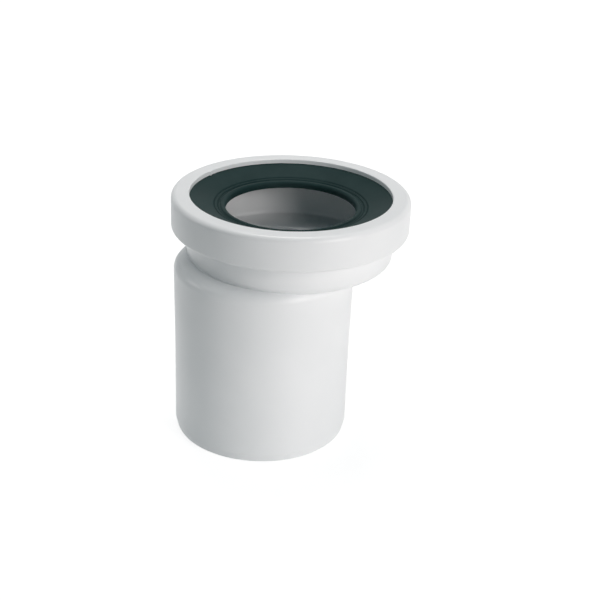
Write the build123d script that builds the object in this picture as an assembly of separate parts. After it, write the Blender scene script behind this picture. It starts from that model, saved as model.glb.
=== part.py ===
from build123d import *
import math
import os

# Offset pan connector: a white moulded body, a rubber lip seal and a collar that traps the seal.
# Millimetres, +Z up. The spigot stands on Z = 0 about the Z axis and the cup is shifted along +X.

# Spigot
spigot_diameter = 110.0
spigot_wall = 3.2
spigot_straight = 60.0
spigot_length = 113.4
spigot_draft = 0.7
shoulder_round = 5.7
lead_in_length = 5.0
lead_in_depth = 1.2
nose_round = 1.0

# Cup, set to one side of the spigot
cup_offset = 20.0
cup_diameter = 128.4
cup_wall = 3.0
cup_floor = 3.2
cup_round = 4.3
floor_round = 2.0
cup_height = 19.9
cup_drop = 1.3

# Bell round the top of the cup
bell_step = 6.6
bell_wall = 2.8
bell_floor = 3.0
bell_height = 14.7

# Snap bead that holds the collar on the bell
snap_height = 4.5
snap_rise = 0.6
snap_ramp = 1.4
snap_catch = 0.8

# Retaining collar
collar_wall = 2.8
collar_plate = 2.8
collar_lap = 1.0
collar_round = 3.2
collar_foot_round = 2.0
collar_clearance = 0.15
plate_width = 11.2
mouth_round = 0.5
nib_radius = 0.9
nib_angle = 107.0

# Lip seal
seal_flange = 3.0
seal_inset = 0.4
seal_clearance = 0.3
seal_skirt_wall = 2.5
seal_skirt_gap = 3.7
membrane_thickness = 2.4
membrane_drop = 5.4
lip_diameter = 80.6
bead_width = 4.0
bead_height = 4.4
bead_rise = 0.6
bead_crown = 1.9
bead_foot_round = 0.8
groove_width = 1.3
groove_depth = 0.6
groove_spacing = 2.2
groove_setback = 0.9

# Radii that follow from the diameters
spigot_radius = spigot_diameter / 2
shoulder_radius = spigot_radius + spigot_draft
cup_radius = cup_diameter / 2
bell_radius = cup_radius + bell_step
skirt_radius = bell_radius + collar_clearance
collar_radius = skirt_radius + collar_wall
mouth_radius = collar_radius - plate_width
lip_radius = lip_diameter / 2

# Heights that follow, from the spigot's end upwards
cup_bottom = spigot_length - cup_drop
bell_bottom = cup_bottom + cup_height
bell_seat = bell_bottom + bell_floor
rim_height = bell_bottom + bell_height
plate_bottom = rim_height + seal_flange
top_height = plate_bottom + collar_plate
collar_bottom = bell_bottom - collar_lap


def turned(corners: list[tuple[float, float, float]]) -> Part:
    """Turn a closed profile about Z. Each corner is a radius, a height and its rounding."""
    with BuildPart() as solid:
        with BuildSketch(Plane.XZ) as profile:
            with BuildLine():
                Polyline([(radius, height) for radius, height, _ in corners], close=True)
            make_face()
            for radius, height, rounding in corners:
                if rounding > 0:
                    corner = profile.vertices().sort_by_distance((radius, height))[0]
                    fillet(corner, rounding)
        revolve(axis=Axis.Z)
    return solid.part


def over_cup(shape: Part) -> Part:
    """Shift a shape turned about Z onto the cup's own axis."""
    return Pos(cup_offset, 0, 0) * shape


def connector_body() -> Part:
    """Spigot, eccentric cup and bell as one hollow moulding."""
    bore_round = max(shoulder_round - spigot_wall, 0)
    bore_radius = spigot_radius - spigot_wall
    ceiling = spigot_length - spigot_wall
    floor = cup_bottom + cup_floor
    cup_bore = cup_radius - cup_wall
    bell_bore = bell_radius - bell_wall
    snap_middle = bell_bottom + snap_height

    spigot = turned([
        (0, 0, 0),
        (spigot_radius - lead_in_depth, 0, nose_round),
        (spigot_radius, lead_in_length, 0),
        (spigot_radius, spigot_straight, 0),
        (shoulder_radius, spigot_length, shoulder_round),
        (0, spigot_length, 0),
    ])
    spigot_bore = turned([
        (0, 0, 0),
        (bore_radius, 0, 0),
        (bore_radius, ceiling, bore_round),
        (0, ceiling, 0),
    ])
    cup = turned([
        (0, cup_bottom, 0),
        (cup_radius, cup_bottom, cup_round),
        (cup_radius, bell_bottom, 0),
        (bell_radius, bell_bottom, 0),
        (bell_radius, snap_middle - snap_catch, 0),
        (bell_radius + snap_rise, snap_middle, 0),
        (bell_radius, snap_middle + snap_ramp, 0),
        (bell_radius, rim_height, 0),
        (0, rim_height, 0),
    ])
    cup_hollow = turned([
        (0, floor, 0),
        (cup_bore, floor, floor_round),
        (cup_bore, bell_seat, 0),
        (bell_bore, bell_seat, 0),
        (bell_bore, rim_height, 0),
        (0, rim_height, 0),
    ])

    # The way through the floor is what the two hollows have in common
    passage = extrude(Pos(0, 0, ceiling) * Circle(bore_radius - bore_round), floor - ceiling)
    cup_side = extrude(Pos(0, 0, ceiling) * Circle(cup_bore - floor_round), floor - ceiling)
    passage = passage & over_cup(cup_side)

    outside = spigot + over_cup(cup)
    hollow = spigot_bore + over_cup(cup_hollow) + passage
    return outside - hollow


def retaining_collar() -> Part:
    """Top plate and skirt that snap over the bell, with a groove for the snap bead."""
    snap_middle = bell_bottom + snap_height
    collar = turned([
        (mouth_radius, plate_bottom, 0),
        (mouth_radius, top_height, mouth_round),
        (collar_radius, top_height, collar_round),
        (collar_radius, collar_bottom, collar_foot_round),
        (skirt_radius, collar_bottom, 0),
        (skirt_radius, snap_middle - snap_catch, 0),
        (skirt_radius + snap_rise, snap_middle, 0),
        (skirt_radius, snap_middle + snap_ramp, 0),
        (skirt_radius, plate_bottom, 0),
    ])

    # Moulding nib on the wall of the mouth, clear of the plate's top edge
    nib_height = collar_plate - mouth_round
    nib = Pos(mouth_radius, 0, plate_bottom) * extrude(Circle(nib_radius), nib_height)
    collar = collar + Rot(0, 0, nib_angle) * nib
    return over_cup(collar)


def lip_seal() -> Part:
    """Clamped flange with a locating skirt, sloping membrane and a thick bead round the opening."""
    seal_radius = bell_radius - seal_inset
    skirt_outside = bell_radius - bell_wall - seal_clearance
    skirt_inside = skirt_outside - seal_skirt_wall
    skirt_bottom = bell_seat + seal_skirt_gap
    bead_outside = lip_radius + bead_width
    bead_middle = lip_radius + bead_width / 2
    slope = membrane_drop / (mouth_radius - bead_outside)
    membrane_depth = membrane_thickness * math.hypot(1, slope)
    bead_top = plate_bottom - membrane_drop + bead_rise
    bead_bottom = bead_top - bead_height

    def membrane_height(radius: float) -> float:
        """Height of the membrane's upper face at a radius."""
        return plate_bottom - slope * (mouth_radius - radius)

    # Two fine V grooves run round the membrane beside the bead, the outer one first
    grooves = []
    for number in (1, 0):
        middle = bead_outside + groove_setback + number * groove_spacing
        outer = middle + groove_width / 2
        inner = middle - groove_width / 2
        grooves.append((outer, membrane_height(outer), 0))
        grooves.append((middle, membrane_height(middle) - groove_depth, 0))
        grooves.append((inner, membrane_height(inner), 0))

    flange = turned([
        (seal_radius, plate_bottom, 0),
        (mouth_radius, plate_bottom, 0),
        *grooves,
        (bead_middle, membrane_height(bead_middle), 0),
        (bead_middle, membrane_height(bead_middle) - membrane_depth, 0),
        (skirt_inside, membrane_height(skirt_inside) - membrane_depth, 0),
        (skirt_inside, skirt_bottom, 0),
        (skirt_outside, skirt_bottom, 0),
        (skirt_outside, rim_height, 0),
        (seal_radius, rim_height, 0),
    ])
    bead = turned([
        (lip_radius, bead_bottom, bead_foot_round),
        (lip_radius, bead_top, bead_crown),
        (bead_outside, bead_top, bead_crown),
        (bead_outside, bead_bottom, bead_foot_round),
    ])
    return over_cup(flange + bead)


os.makedirs("parts", exist_ok=True)
export_step(connector_body(), "parts/connector_body.step")
export_step(retaining_collar(), "parts/retaining_collar.step")
export_step(lip_seal(), "parts/lip_seal.step")
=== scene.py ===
import logging
import math
from dataclasses import dataclass, field
from enum import Enum
from typing import Any, Union

import bmesh
import bpy
from mathutils import Matrix, Vector


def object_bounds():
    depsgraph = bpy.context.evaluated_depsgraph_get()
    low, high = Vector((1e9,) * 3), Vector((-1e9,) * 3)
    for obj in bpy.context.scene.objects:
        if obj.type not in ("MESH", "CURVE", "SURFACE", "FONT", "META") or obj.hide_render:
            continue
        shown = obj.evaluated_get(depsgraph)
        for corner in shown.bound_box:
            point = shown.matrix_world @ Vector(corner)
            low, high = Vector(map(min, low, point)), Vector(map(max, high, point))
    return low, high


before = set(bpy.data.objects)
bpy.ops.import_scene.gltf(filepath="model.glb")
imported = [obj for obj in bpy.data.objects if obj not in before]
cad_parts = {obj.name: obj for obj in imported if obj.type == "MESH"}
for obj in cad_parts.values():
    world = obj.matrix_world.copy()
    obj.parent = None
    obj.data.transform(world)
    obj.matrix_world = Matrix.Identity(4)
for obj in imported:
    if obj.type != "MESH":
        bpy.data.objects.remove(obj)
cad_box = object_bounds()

LOG = logging.getLogger("offset_pan_connector")

Colour = tuple[float, float, float]
Point = tuple[float, float, float]
Span = tuple[float, float]
Operand = Union["Value", float]

# A millimetre in the frame's metres
MM = 0.001

BLACK: Colour = (0.0, 0.0, 0.0)
WHITE: Colour = (1.0, 1.0, 1.0)

# Strength at which a white glow or backdrop renders as plain white
WHITE_STRENGTH = 1.0

# Level that a noise pattern swings about
NOISE_MIDDLE = 0.5

# Length in metres after which Blender's wave pattern repeats at a scale of 1
WAVE_LENGTH = math.tau / 20.0

# Places of the colour sockets on Blender's Mix node, whose names aren't unique
MIX_FACTOR = 0
MIX_FIRST = 6
MIX_SECOND = 7
MIX_RESULT = 2


def grey(level: float) -> Colour:
    """Neutral colour of one level."""
    return (level, level, level)


def opaque(colour: Colour) -> tuple[float, float, float, float]:
    """Colour with the full alpha that a colour socket takes."""
    return (*colour, 1.0)


class Piece(Enum):
    """The three mouldings of the connector."""

    BODY = "connector_body"
    COLLAR = "retaining_collar"
    SEAL = "lip_seal"


class Ray(Enum):
    """Rays that see the white floor and backdrop instead of the light that they throw."""

    CAMERA = "Is Camera Ray"
    GLOSSY = "Is Glossy Ray"
    TRANSMISSION = "Is Transmission Ray"


@dataclass(frozen=True)
class Pattern:
    """A random pattern in a surface.

    Attributes:
        cells: Cells in a metre.
        octaves: Octaves of finer noise.
        height: Height in metres that it stands up.
    """

    cells: float
    octaves: float
    height: float = 0.0


class Value:
    """A number that changes over a surface. Arithmetic on it adds Math nodes."""

    def __init__(self, graph: "NodeGraph", socket: bpy.types.NodeSocket) -> None:
        """Wrap one output socket of a graph."""
        self.graph = graph
        self.socket = socket

    def _math(self, operation: str, first: Operand, second: Operand) -> "Value":
        """Add one Math node.

        Args:
            operation: Blender's name of the operation.
            first: Value or number on the left.
            second: Value or number on the right.

        Returns:
            The node's result.
        """
        node = self.graph.node("ShaderNodeMath", {"operation": operation}, {0: first, 1: second})
        return Value(self.graph, node.outputs[0])

    def __add__(self, other: Operand) -> "Value":
        """Sum of the two."""
        return self._math("ADD", self, other)

    def __radd__(self, other: Operand) -> "Value":
        """Sum with a plain number on the left."""
        return self._math("ADD", other, self)

    def __sub__(self, other: Operand) -> "Value":
        """Difference of the two."""
        return self._math("SUBTRACT", self, other)

    def __rsub__(self, other: Operand) -> "Value":
        """Difference with a plain number on the left."""
        return self._math("SUBTRACT", other, self)

    def __mul__(self, other: Operand) -> "Value":
        """Product of the two."""
        return self._math("MULTIPLY", self, other)

    def __rmul__(self, other: Operand) -> "Value":
        """Product with a plain number on the left."""
        return self._math("MULTIPLY", other, self)


class NodeGraph:
    """A node tree with one method that adds nodes, and a few named patterns on top of it."""

    def __init__(self, tree: bpy.types.NodeTree) -> None:
        """Take over a tree and clear its default nodes."""
        self.tree = tree
        tree.nodes.clear()

    def node(
        self, kind: str, settings: dict[str, Any], sockets: dict[Union[str, int], Any]
    ) -> bpy.types.Node:
        """Add a node, choose its settings, then fill or link its sockets.

        Args:
            kind: Blender's type name of the node.
            settings: Attributes of the node, set before its sockets.
            sockets: Input name or number against a Value, a socket or a constant.

        Returns:
            The new node.
        """
        node = self.tree.nodes.new(kind)
        for name, setting in settings.items():
            setattr(node, name, setting)
        for key, given in sockets.items():
            source = given.socket if isinstance(given, Value) else given
            if isinstance(source, bpy.types.NodeSocket):
                self.tree.links.new(source, node.inputs[key])
            else:
                node.inputs[key].default_value = source
        return node

    def place(
        self, centre: Point = (0.0, 0.0, 0.0), stretch: Point = (1.0, 1.0, 1.0)
    ) -> bpy.types.NodeSocket:
        """Object coordinates in metres, moved and stretched for a pattern.

        Args:
            centre: Point that becomes the pattern's origin.
            stretch: Factor on each axis.

        Returns:
            The vector socket for a texture.
        """
        coordinates = self.node("ShaderNodeTexCoord", {}, {}).outputs["Object"]
        shift = tuple(-c * s for c, s in zip(centre, stretch))
        sockets = {"Vector": coordinates, "Location": shift, "Scale": stretch}
        return self.node("ShaderNodeMapping", {}, sockets).outputs["Vector"]

    def noise(self, where: bpy.types.NodeSocket, pattern: Pattern) -> Value:
        """Soft random pattern.

        Args:
            where: Vector socket to read it at.
            pattern: How fine it is.

        Returns:
            The pattern's value, from 0 to 1.
        """
        sockets = {"Vector": where, "Scale": pattern.cells, "Detail": pattern.octaves}
        return Value(self, self.node("ShaderNodeTexNoise", {}, sockets).outputs["Fac"])

    def rings(self, where: bpy.types.NodeSocket, pitch: float) -> Value:
        """Concentric rings about the pattern's Z axis.

        Args:
            where: Vector socket to read it at.
            pitch: Distance between rings in metres.

        Returns:
            The pattern's value, from 0 to 1.
        """
        settings = {"wave_type": "RINGS", "rings_direction": "Z", "wave_profile": "SIN"}
        sockets = {"Vector": where, "Scale": WAVE_LENGTH / pitch}
        return Value(self, self.node("ShaderNodeTexWave", settings, sockets).outputs["Fac"])

    def distance(self) -> Value:
        """Distance from the frame's origin in metres."""
        node = self.node("ShaderNodeVectorMath", {"operation": "LENGTH"}, {0: self.place()})
        return Value(self, node.outputs["Value"])

    def contrast(self, pattern: Value, low: float, high: float) -> Value:
        """Stretch part of a pattern over 0 to 1, with soft ends.

        Args:
            pattern: Value to read.
            low: Where the result is 0.
            high: Where the result is 1.

        Returns:
            The stretched value.
        """
        settings = {"interpolation_type": "SMOOTHSTEP"}
        sockets = {"Value": pattern, "From Min": low, "From Max": high}
        return Value(self, self.node("ShaderNodeMapRange", settings, sockets).outputs["Result"])

    def blend(self, factor: Value, first: Colour, second: Colour) -> bpy.types.NodeSocket:
        """Colour between two, by a value.

        Args:
            factor: 0 gives the first colour and 1 the second.
            first: Colour at 0.
            second: Colour at 1.

        Returns:
            The colour socket.
        """
        sockets = {MIX_FACTOR: factor, MIX_FIRST: opaque(first), MIX_SECOND: opaque(second)}
        return self.node("ShaderNodeMix", {"data_type": "RGBA"}, sockets).outputs[MIX_RESULT]

    def relief(self, *layers: tuple[Value, float]) -> bpy.types.NodeSocket:
        """Normal bent by height patterns that lie over each other.

        Args:
            layers: Each pattern, from 0 to 1, with the height in metres that 1 stands for.

        Returns:
            The normal socket.
        """
        depth = sum(height for _, height in layers)
        lowest, *others = [pattern * (height / depth) for pattern, height in layers]
        sockets = {"Strength": 1.0, "Distance": depth, "Height": sum(others, start=lowest)}
        return self.node("ShaderNodeBump", {}, sockets).outputs["Normal"]

    def seen_by(self, *rays: Ray) -> Value:
        """Tell some kinds of ray from the rest.

        Args:
            rays: The kinds to tell.

        Returns:
            1 for those rays and 0 for the rest.
        """
        path = self.node("ShaderNodeLightPath", {}, {})
        first, *others = [Value(self, path.outputs[ray.value]) for ray in rays]
        return sum(others, start=first)

    def matt(self, colour: Colour) -> bpy.types.Node:
        """Matt shader of one colour."""
        return self.node("ShaderNodeBsdfDiffuse", {}, {"Color": opaque(colour)})

    def choose(self, factor: Value, first: bpy.types.Node, second: bpy.types.Node) -> bpy.types.Node:
        """Shader between two, by a value.

        Args:
            factor: 0 gives the first shader and 1 the second.
            first: Shader at 0.
            second: Shader at 1.

        Returns:
            The node that mixes them.
        """
        sockets = {0: factor, 1: first.outputs[0], 2: second.outputs[0]}
        return self.node("ShaderNodeMixShader", {}, sockets)

    def output(self, kind: str, shader: bpy.types.Node) -> None:
        """Join a shader to the tree's output node of that kind."""
        self.node(kind, {"is_active_output": True}, {"Surface": shader.outputs[0]})


def new_material(name: str) -> tuple[bpy.types.Material, NodeGraph]:
    """Make an empty node material.

    Args:
        name: Name of the material.

    Returns:
        The material and the graph of its nodes.
    """
    material = bpy.data.materials.new(name)
    material.use_nodes = True
    return material, NodeGraph(material.node_tree)


@dataclass(frozen=True)
class MouldedPlastic:
    """Satin white polypropylene with the slight unevenness of an injection moulding.

    Attributes:
        name: Name of the material.
        colour: Main colour.
        cloud_colour: Colour of the faint duller clouds.
        clouds: Pattern of the clouds.
        cloud_edges: Levels of that pattern between which a cloud comes up.
        roughness: Mean roughness.
        cloud_spread: Change of roughness between the clouds.
        mark_spread: Change of roughness between the draw marks.
        ior: Index of refraction.
        peel: Fine orange-peel texture.
        ripple: Broad sink ripples.
        marks: Draw marks along the axis.
        mark_stretch: Factor on each axis that draws the marks out.
    """

    name: str
    colour: Colour = (0.854, 0.869, 0.875)
    cloud_colour: Colour = (0.832, 0.849, 0.856)
    clouds: Pattern = Pattern(cells=22.0, octaves=3.0)
    cloud_edges: Span = (0.32, 0.68)
    roughness: float = 0.36
    cloud_spread: float = 0.10
    mark_spread: float = 0.08
    ior: float = 1.49
    peel: Pattern = Pattern(cells=900.0, octaves=2.0, height=0.012 * MM)
    ripple: Pattern = Pattern(cells=55.0, octaves=1.0, height=0.040 * MM)
    marks: Pattern = Pattern(cells=420.0, octaves=3.0, height=0.006 * MM)
    mark_stretch: Point = (1.0, 1.0, 0.03)

    def material(self) -> bpy.types.Material:
        """Make the plastic's material.

        Returns:
            The material.
        """
        material, graph = new_material(self.name)
        place = graph.place()
        clouds = graph.contrast(graph.noise(place, self.clouds), *self.cloud_edges)
        peel = graph.noise(place, self.peel)
        ripple = graph.noise(place, self.ripple)
        marks = graph.noise(graph.place(stretch=self.mark_stretch), self.marks)
        cloud_change = (clouds - NOISE_MIDDLE) * self.cloud_spread
        mark_change = (marks - NOISE_MIDDLE) * self.mark_spread
        shader = graph.node("ShaderNodeBsdfPrincipled", {}, {
            "Base Color": graph.blend(clouds, self.colour, self.cloud_colour),
            "Roughness": cloud_change + mark_change + self.roughness,
            "IOR": self.ior,
            "Normal": graph.relief(
                (peel, self.peel.height), (ripple, self.ripple.height), (marks, self.marks.height)
            ),
        })
        graph.output("ShaderNodeOutputMaterial", shader)
        return material


@dataclass(frozen=True)
class SealRubber:
    """Dark green-grey rubber with a faint bloom and the fine rings of a turned mould.

    Attributes:
        name: Name of the material.
        axis: Point on the axis that the rings run round.
        colour: Main colour.
        bloom_colour: Colour of the paler bloom on it.
        bloom: Pattern of the bloom.
        bloom_edges: Levels of that pattern between which the bloom comes up.
        roughness: Roughness without the bloom.
        bloom_spread: Rise of roughness with the bloom.
        grain_spread: Change of roughness with the grain.
        ior: Index of refraction.
        gloss: Strength of its reflection, 0.5 being a full one.
        grain: Fine grain.
        ring_pitch: Distance between the mould's rings in metres.
        ring_height: Height of the mould's rings in metres.
    """

    name: str
    axis: Point
    colour: Colour = (0.014, 0.034, 0.034)
    bloom_colour: Colour = (0.022, 0.044, 0.044)
    bloom: Pattern = Pattern(cells=40.0, octaves=5.0)
    bloom_edges: Span = (0.35, 0.70)
    roughness: float = 0.38
    bloom_spread: float = 0.14
    grain_spread: float = 0.10
    ior: float = 1.50
    gloss: float = 0.03
    grain: Pattern = Pattern(cells=1400.0, octaves=2.0, height=0.014 * MM)
    ring_pitch: float = 0.6 * MM
    ring_height: float = 0.006 * MM

    def material(self) -> bpy.types.Material:
        """Make the rubber's material.

        Returns:
            The material.
        """
        material, graph = new_material(self.name)
        place = graph.place()
        bloom = graph.contrast(graph.noise(place, self.bloom), *self.bloom_edges)
        grain = graph.noise(place, self.grain)
        rings = graph.rings(graph.place(centre=self.axis), self.ring_pitch)
        grain_change = (grain - NOISE_MIDDLE) * self.grain_spread
        shader = graph.node("ShaderNodeBsdfPrincipled", {}, {
            "Base Color": graph.blend(bloom, self.colour, self.bloom_colour),
            "Roughness": bloom * self.bloom_spread + grain_change + self.roughness,
            "IOR": self.ior,
            "Specular IOR Level": self.gloss,
            "Normal": graph.relief((grain, self.grain.height), (rings, self.ring_height)),
        })
        graph.output("ShaderNodeOutputMaterial", shader)
        return material


@dataclass
class Moulding:
    """One moulding of the connector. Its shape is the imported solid, which stays as it is.

    Attributes:
        piece: Which moulding it is.
        finish: What it is made of.
    """

    piece: Piece
    finish: Union[MouldedPlastic, SealRubber]

    def dress(self) -> bpy.types.Object:
        """Give the moulding its material.

        Returns:
            The dressed object.
        """
        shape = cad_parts[self.piece.value]
        material = self.finish.material()
        for slot in shape.material_slots:
            slot.material = material
        return shape


@dataclass
class ConnectorBody(Moulding):
    """Spigot, cup set to one side of it, and the bell round the cup's top.

    Attributes:
        spigot_foot: Radius of the spigot's end in metres.
        cup_offset: Distance from the spigot's axis to the cup's in metres.
    """

    piece: Piece = Piece.BODY
    finish: MouldedPlastic = MouldedPlastic("white_plastic_body")
    spigot_foot: float = 53.8 * MM
    cup_offset: float = 20.0 * MM

    def cup_axis(self) -> Point:
        """Point on the floor under the cup's middle."""
        return (self.cup_offset, 0.0, 0.0)


@dataclass
class RetainingCollar(Moulding):
    """Plate and skirt that clip over the bell and hold the seal down."""

    piece: Piece = Piece.COLLAR
    finish: MouldedPlastic = MouldedPlastic("white_plastic_collar")


@dataclass
class LipSeal(Moulding):
    """Rubber seal under the collar: flange, sloping membrane and a bead round the opening."""

    piece: Piece = Piece.SEAL
    finish: SealRubber = SealRubber("seal_rubber_dark", axis=ConnectorBody().cup_axis())


@dataclass
class SoftBox:
    """A large soft lamp that faces the object.

    Attributes:
        name: Name of the lamp.
        azimuth: Degrees round from the front, towards +X.
        elevation: Degrees above the floor.
        width: Width of the lamp in metres.
        height: Height of the lamp in metres.
        watts: Power.
        distance: Distance from the object's middle in metres.
        colour: Colour of its light.
    """

    name: str
    azimuth: float
    elevation: float
    width: float
    height: float
    watts: float
    distance: float = 1.25
    colour: Colour = (1.0, 0.945, 0.93)

    def build(self, target: Vector) -> bpy.types.Object:
        """Make the lamp.

        Args:
            target: Point that the lamp faces.

        Returns:
            The lamp's object.
        """
        light = bpy.data.lights.new(self.name, "AREA")
        light.shape = "RECTANGLE"
        light.size = self.width
        light.size_y = self.height
        light.energy = self.watts
        light.color = self.colour
        lamp = bpy.data.objects.new(self.name, light)
        bpy.context.scene.collection.objects.link(lamp)
        turn = math.radians(self.azimuth)
        rise = math.radians(self.elevation)
        level = math.cos(rise)
        away = Vector((math.sin(turn) * level, -math.cos(turn) * level, math.sin(rise)))
        lamp.location = target + away * self.distance
        lamp.rotation_euler = away.to_track_quat("Z", "Y").to_euler()
        lamp.visible_camera = False
        return lamp


@dataclass
class Studio:
    """White floor, a little cool fill, and soft lamps from the right, the front, the left and above.

    Attributes:
        covered: Radius of the floor under the object, which has no glow, in metres.
        covered_edge: Share of that radius at which the glow begins.
        floor_size: Side of the floor in metres.
        floor_gap: Drop of the floor below the object in metres.
        floor_glow: White of the floor beside the object that takes no shadow.
        floor_fade: Distances between which the glow rises to full white, in metres.
        floor_catch: Grey of the floor that takes the shadow.
        floor_bounce: Grey of the floor for the light that it throws back.
        floor_end: Distances between which the floor stops throwing light back, in metres.
        fill: Strength of the even light.
        fill_colour: Colour of the even light.
        lamps: The soft lamps.
    """

    covered: float
    covered_edge: float = 0.9
    floor_size: float = 30.0
    floor_gap: float = 0.2 * MM
    floor_glow: float = 0.82
    floor_fade: Span = (0.15, 0.60)
    floor_catch: float = 0.34
    floor_bounce: float = 0.95
    floor_end: Span = (0.35, 0.65)
    fill: float = 0.086
    fill_colour: Colour = (0.38, 0.87, 1.0)
    lamps: list[SoftBox] = field(default_factory=lambda: [
        SoftBox("right_lamp", azimuth=6.8, elevation=17.0, width=0.5, height=0.9, watts=9.4),
        SoftBox("front_lamp", azimuth=-8.2, elevation=10.0, width=0.5, height=0.4, watts=1.7),
        SoftBox("top_lamp", azimuth=141.8, elevation=70.0, width=0.6, height=0.6, watts=7.0),
        SoftBox("left_lamp", azimuth=-138.2, elevation=22.0, width=0.5, height=0.4, watts=2.05),
        SoftBox("high_left_lamp", azimuth=-138.2, elevation=60.0, width=0.6, height=0.6, watts=1.3),
    ])

    def floor_material(self) -> bpy.types.Material:
        """Make the floor's white, which keeps the shadow, and its grey for the light it throws back.

        Returns:
            The material.
        """
        material, graph = new_material("floor_white")
        away = graph.distance()
        clear = graph.contrast(away, self.covered_edge * self.covered, self.covered)
        risen = graph.contrast(away, *self.floor_fade)
        ended = graph.contrast(away, *self.floor_end)

        level = clear * (self.floor_glow + (1.0 - self.floor_glow) * risen)
        white = graph.blend(level, BLACK, WHITE)
        glow = graph.node("ShaderNodeEmission", {}, {"Color": white, "Strength": WHITE_STRENGTH})
        catch = graph.matt(grey(self.floor_catch))
        shown = graph.node("ShaderNodeAddShader", {}, {0: catch.outputs[0], 1: glow.outputs[0]})

        thrown = graph.choose(ended, graph.matt(grey(self.floor_bounce)), graph.matt(BLACK))
        graph.output("ShaderNodeOutputMaterial", graph.choose(graph.seen_by(*Ray), thrown, shown))
        return material

    def build_floor(self) -> bpy.types.Object:
        """Make the floor.

        Returns:
            The floor's object.
        """
        mesh = bpy.data.meshes.new("floor")
        shape = bmesh.new()
        bmesh.ops.create_grid(shape, x_segments=1, y_segments=1, size=self.floor_size / 2)
        bmesh.ops.translate(shape, verts=shape.verts, vec=(0.0, 0.0, -self.floor_gap))
        shape.to_mesh(mesh)
        shape.free()
        mesh.materials.append(self.floor_material())
        floor = bpy.data.objects.new("floor", mesh)
        bpy.context.scene.collection.objects.link(floor)
        return floor

    def build_world(self) -> bpy.types.World:
        """Make the even light, with a plain white behind it.

        Returns:
            The world.
        """
        world = bpy.data.worlds.new("studio")
        world.use_nodes = True
        graph = NodeGraph(world.node_tree)
        even = {"Color": opaque(self.fill_colour), "Strength": self.fill}
        plain = {"Color": opaque(WHITE), "Strength": WHITE_STRENGTH}
        fill = graph.node("ShaderNodeBackground", {}, even)
        white = graph.node("ShaderNodeBackground", {}, plain)
        graph.output("ShaderNodeOutputWorld", graph.choose(graph.seen_by(*Ray), fill, white))
        bpy.context.scene.world = world
        return world

    def build(self, target: Vector) -> list[bpy.types.ID]:
        """Make the whole studio.

        Args:
            target: Point that the lamps face.

        Returns:
            The floor, the world and the lamps.
        """
        return [self.build_floor(), self.build_world(), *(lamp.build(target) for lamp in self.lamps)]


@dataclass
class PhotoCamera:
    """The photograph's viewpoint.

    Attributes:
        place: Where the camera stands, in metres.
        heading: Degrees that it is turned from +Y towards +X.
        tilt: Degrees that it looks down.
        roll: Degrees that it is rolled about its own axis.
        lens: Focal length in millimetres.
        sensor: Width of the frame in millimetres.
    """

    place: Point = (-0.44507, -0.56478, 0.42517)
    heading: float = 40.080
    tilt: float = 25.263
    roll: float = 2.196
    lens: float = 76.069
    sensor: float = 36.0

    def build(self) -> bpy.types.Object:
        """Make the camera and look through it.

        Returns:
            The camera's object.
        """
        data = bpy.data.cameras.new("photo_camera")
        data.sensor_width = self.sensor
        data.lens = self.lens
        camera = bpy.data.objects.new("photo_camera", data)
        bpy.context.scene.collection.objects.link(camera)
        turn = Matrix.Rotation(-math.radians(self.heading), 4, "Z")
        # An untilted camera in Blender looks straight down
        tilt = Matrix.Rotation(math.radians(90.0 - self.tilt), 4, "X")
        roll = Matrix.Rotation(math.radians(self.roll), 4, "Z")
        camera.matrix_world = Matrix.Translation(self.place) @ turn @ tilt @ roll
        bpy.context.scene.camera = camera
        return camera


def main() -> None:
    """Dress the three mouldings, then set up the studio and the camera."""
    logging.basicConfig(level=logging.INFO, format="%(name)s: %(message)s")
    bpy.context.scene.view_settings.view_transform = "Standard"
    body = ConnectorBody()
    for moulding in (body, LipSeal(), RetainingCollar()):
        LOG.info("dressed %s", moulding.dress().name)
    low, high = cad_box
    for part in Studio(covered=body.spigot_foot).build((low + high) / 2):
        LOG.info("set up %s", part.name)
    LOG.info("camera %s", PhotoCamera().build().name)


if __name__ == "__main__":
    main()
